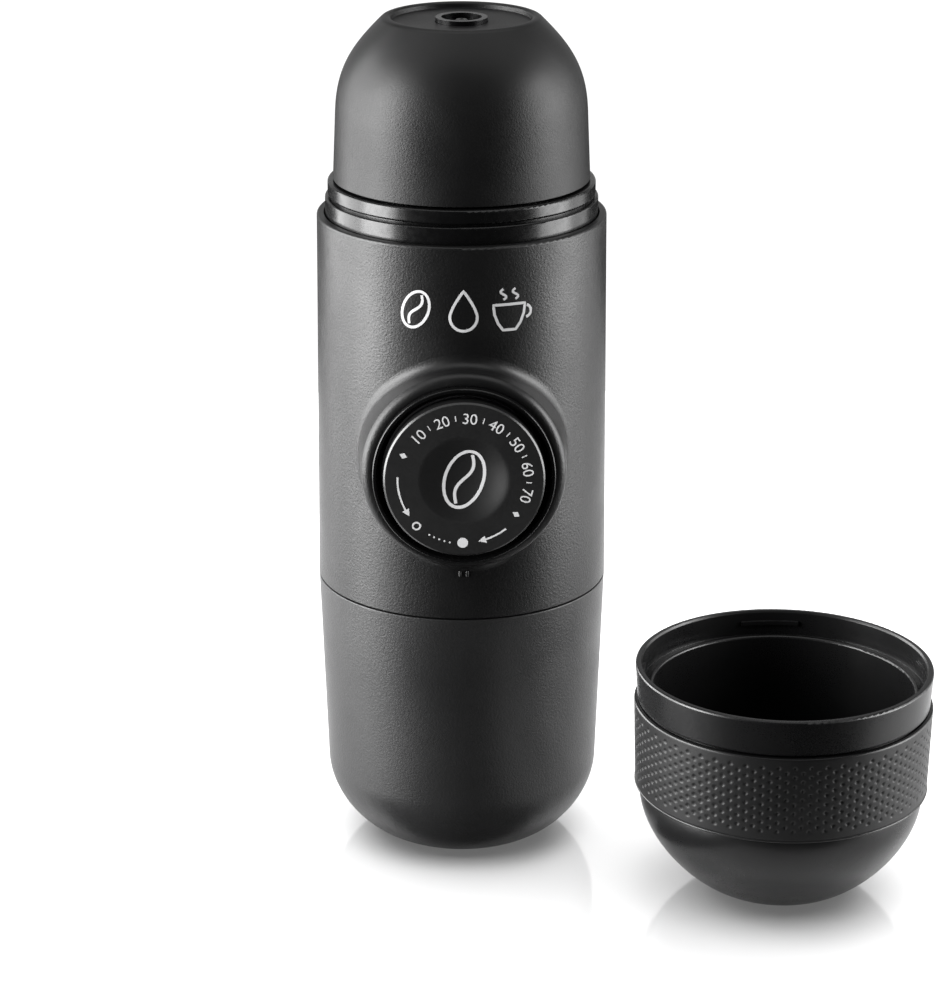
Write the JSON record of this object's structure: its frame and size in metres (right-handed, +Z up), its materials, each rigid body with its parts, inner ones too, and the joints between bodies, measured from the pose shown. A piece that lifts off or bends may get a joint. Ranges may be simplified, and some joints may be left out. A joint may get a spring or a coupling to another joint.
{
  "type": "handheld manual espresso maker",
  "caption": "Hand-pumped travel espresso maker: round-footed water tank, casing with a turn-and-push pump knob, screw-on domed outlet head and a clip-on cup beside it.",
  "frame": {"origin": "on the floor, under the middle of the water tank's foot", "axes": "+Z up along the machine's own axis; the pump knob faces -Y; the cup stands towards +X"},
  "size_m": [0.1239, 0.0901, 0.1733],
  "materials": {
    "tank_plastic": "fine moulded texture, charcoal",
    "casing_plastic": "fine moulded texture, charcoal",
    "dome_plastic": "fine moulded texture, charcoal",
    "gloss_black": "polished black",
    "knob_black": "polished black with white print",
    "frame_plastic": "dark grey moulding",
    "barrel_plastic": "natural acetal",
    "steel": "bright stainless",
    "spring_steel": "drawn wire",
    "seal_rubber": "silicone, matte",
    "clear_tube": "natural tube",
    "cup_plastic": "satin outside, polished inside",
    "grip_rubber": "matte rubber with rows of small dimples"
  },
  "bodies": {
    "tank": {"water_tank": "tank_plastic"},
    "tank_seal": {"tank_gasket": "seal_rubber"},
    "main_body": {"main_shell": "casing_plastic", "bezel_ring": "gloss_black", "knob_guide": "frame_plastic", "pump_frame": "frame_plastic", "frame_screws": "steel", "pump_barrel": "barrel_plastic", "barrel_gland": "barrel_plastic", "rod_seal": "seal_rubber", "return_spring": "spring_steel", "valve_block": "barrel_plastic", "inlet_fitting": "barrel_plastic", "inlet_strainer": "steel", "inlet_spring": "spring_steel", "outlet_fitting": "barrel_plastic", "outlet_spring": "spring_steel", "vent_tube": "clear_tube", "air_valve": "seal_rubber", "group_collar": "gloss_black", "shower_plate": "steel", "shower_screw": "steel", "basket_gasket": "seal_rubber"},
    "piston": {"piston_rod": "steel", "piston_head": "barrel_plastic", "piston_seals": "seal_rubber", "knob_screw": "steel"},
    "knob": {"knob_sleeve": "knob_black", "knob_cap": "knob_black"},
    "inlet_valve": {"inlet_ball": "steel"},
    "outlet_valve": {"outlet_ball": "steel"},
    "seal_ring": {"head_seal": "seal_rubber"},
    "head": {"outlet_head": "dome_plastic", "head_core": "gloss_black", "outlet_screen": "steel", "nozzle_spreader": "gloss_black"},
    "basket": {"filter_basket": "steel"},
    "cup": {"cup_shell": "cup_plastic", "cup_grip": "grip_rubber"}
  },
  "joints": [
    {"name": "body_lift", "type": "slide", "parent": "tank", "child": "tank_seal", "axis": [0, 0, 1], "range_m": [0, 0.06]},
    {"name": "body_turn", "type": "hinge", "parent": "tank_seal", "child": "main_body", "pos_m": [0, 0, 0.0577], "axis": [0, 0, 1], "range_deg": [0, 360]},
    {"name": "piston_stroke", "type": "slide", "parent": "main_body", "child": "piston", "axis": [0, -1, 0], "range_m": [0, 0.0185]},
    {"name": "knob_turn", "type": "hinge", "parent": "piston", "child": "knob", "pos_m": [0, -0.0383, 0.0902], "axis": [0, 1, 0], "range_deg": [-45, 0]},
    {"name": "inlet_valve_lift", "type": "slide", "parent": "main_body", "child": "inlet_valve", "axis": [0, 0, 1], "range_m": [0, 0.001], "stiffness_N_per_m": 5, "springref_m": -0.001, "deforming": ["inlet_spring"]},
    {"name": "outlet_valve_lift", "type": "slide", "parent": "main_body", "child": "outlet_valve", "axis": [0, 0, 1], "range_m": [0, 0.001], "stiffness_N_per_m": 5, "springref_m": -0.001, "deforming": ["outlet_spring"]},
    {"name": "head_lift", "type": "slide", "parent": "main_body", "child": "seal_ring", "axis": [0, 0, 1], "range_m": [0, 0.055]},
    {"name": "head_turn", "type": "hinge", "parent": "seal_ring", "child": "head", "pos_m": [0, 0, 0.1508], "axis": [0, 0, 1], "range_deg": [0, 270]},
    {"name": "basket_lift", "type": "slide", "parent": "main_body", "child": "basket", "axis": [0, 0, 1], "range_m": [0, 0.0275]},
    {"name": "cup_lift", "type": "slide", "parent": "tank", "child": "cup", "axis": [0, 0, 1], "range_m": [0, 0.1]}
  ],
  "couplings": [
    {"joint": "basket_lift", "follows": "head_lift", "ratio": 0.5}
  ]
}
